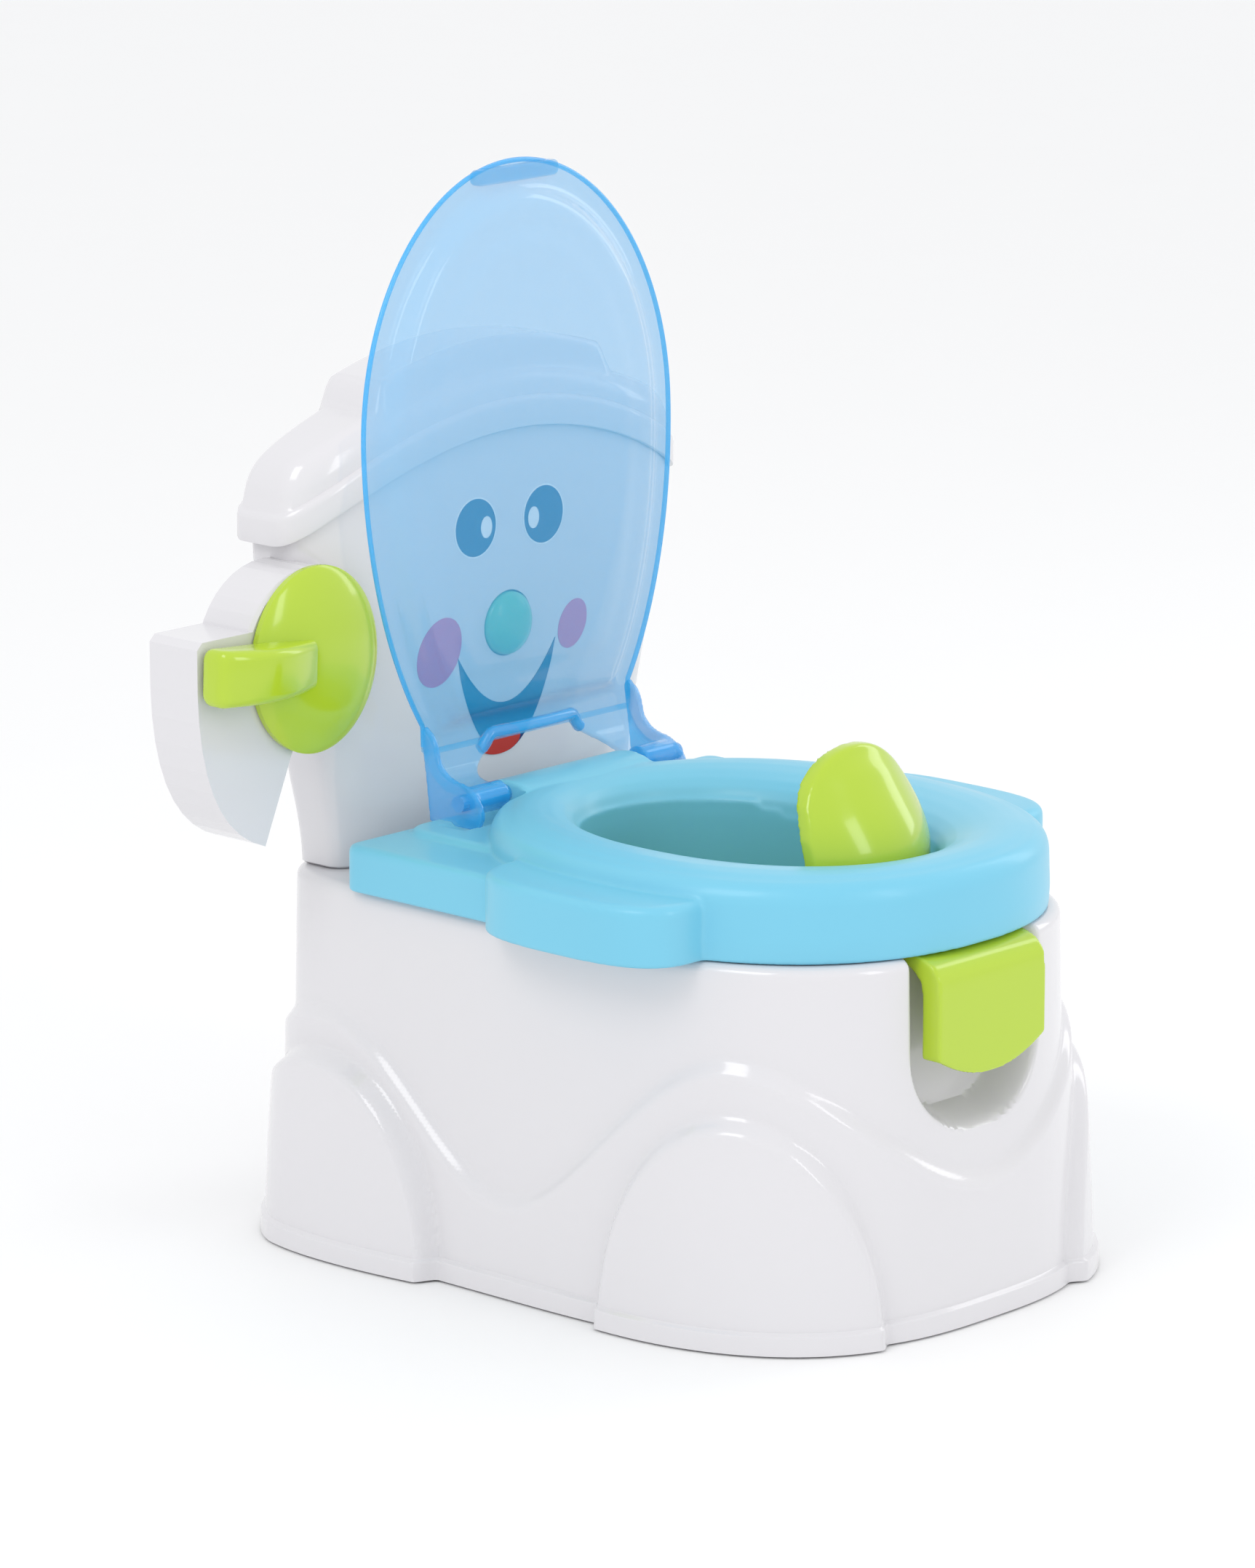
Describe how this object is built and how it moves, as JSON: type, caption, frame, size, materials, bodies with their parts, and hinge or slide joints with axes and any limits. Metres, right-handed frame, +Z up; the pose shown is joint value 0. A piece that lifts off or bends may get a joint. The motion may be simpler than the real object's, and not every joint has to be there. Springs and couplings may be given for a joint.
{
  "type": "potty training chair",
  "caption": "Toilet-shaped potty chair: lift-off seat over a removable bowl, clear hinged lid, splash guard, tank with a smiling face, press-in nose and side flush handle.",
  "frame": {"origin": "on the floor under the middle of the whole chair's box", "axes": "+Z up, +Y towards the tank at the rear, +X to the left of a child who sits on it"},
  "size_m": [0.329, 0.34, 0.468],
  "materials": {
    "white_plastic": "glossy",
    "lime_plastic": "glossy",
    "sky_plastic": "satin",
    "clear_blue_plastic": "clear, glossy",
    "green_plastic": "glossy",
    "steel": "plain",
    "rubber": "matt",
    "circuit_board": "matt",
    "black_plastic": "matt"
  },
  "bodies": {
    "stand": {"base_shell": "white_plastic", "battery_1": "steel", "battery_2": "steel", "battery_box": "black_plastic", "battery_door": "white_plastic", "button_spring": "steel", "button_switch": "black_plastic", "circuit_board": "circuit_board", "door_screw": "steel", "flush_spring": "steel", "foot_pad_1": "rubber", "foot_pad_2": "rubber", "foot_pad_3": "rubber", "foot_pad_4": "rubber", "handle_housing": "white_plastic", "speaker": "black_plastic", "tank_body": "white_plastic", "tank_cover": "white_plastic", "tank_screw_1": "steel", "tank_screw_2": "steel", "tank_screw_3": "steel", "tank_screw_4": "steel"},
    "seat": {"seat": "sky_plastic", "splash_guard": "lime_plastic", "lid_pin_left": "steel", "lid_pin_right": "steel"},
    "pan": {"bowl": "lime_plastic"},
    "lid": {"lid": "clear_blue_plastic"},
    "flush": {"flush_dial": "lime_plastic", "flush_lever": "lime_plastic", "flush_spindle": "steel"},
    "nose": {"nose_button": "green_plastic"}
  },
  "joints": [
    {"name": "seat_lift", "type": "slide", "parent": "stand", "child": "seat", "axis": [0, 0, 1], "range_m": [0, 0.12]},
    {"name": "bowl_lift", "type": "slide", "parent": "stand", "child": "pan", "axis": [0, 0, 1], "range_m": [0, 0.06]},
    {"name": "lid_hinge", "type": "hinge", "parent": "seat", "child": "lid", "pos_m": [0.0275, 0.07625, 0.1968], "axis": [1, 0, 0], "range_deg": [0, 80]},
    {"name": "flush_turn", "type": "hinge", "parent": "stand", "child": "flush", "pos_m": [-0.0965, 0.11175, 0.265], "axis": [0, -1, 0], "range_deg": [0, 25], "stiffness_Nm_per_rad": 0.15, "springref_deg": -22.92},
    {"name": "nose_press", "type": "slide", "parent": "stand", "child": "nose", "axis": [0, 1, 0], "range_m": [0, 0.003], "stiffness_N_per_m": 300, "springref_m": -0.003}
  ],
  "couplings": [
    {"joint": "bowl_lift", "follows": "seat_lift", "ratio": 0.5}
  ]
}
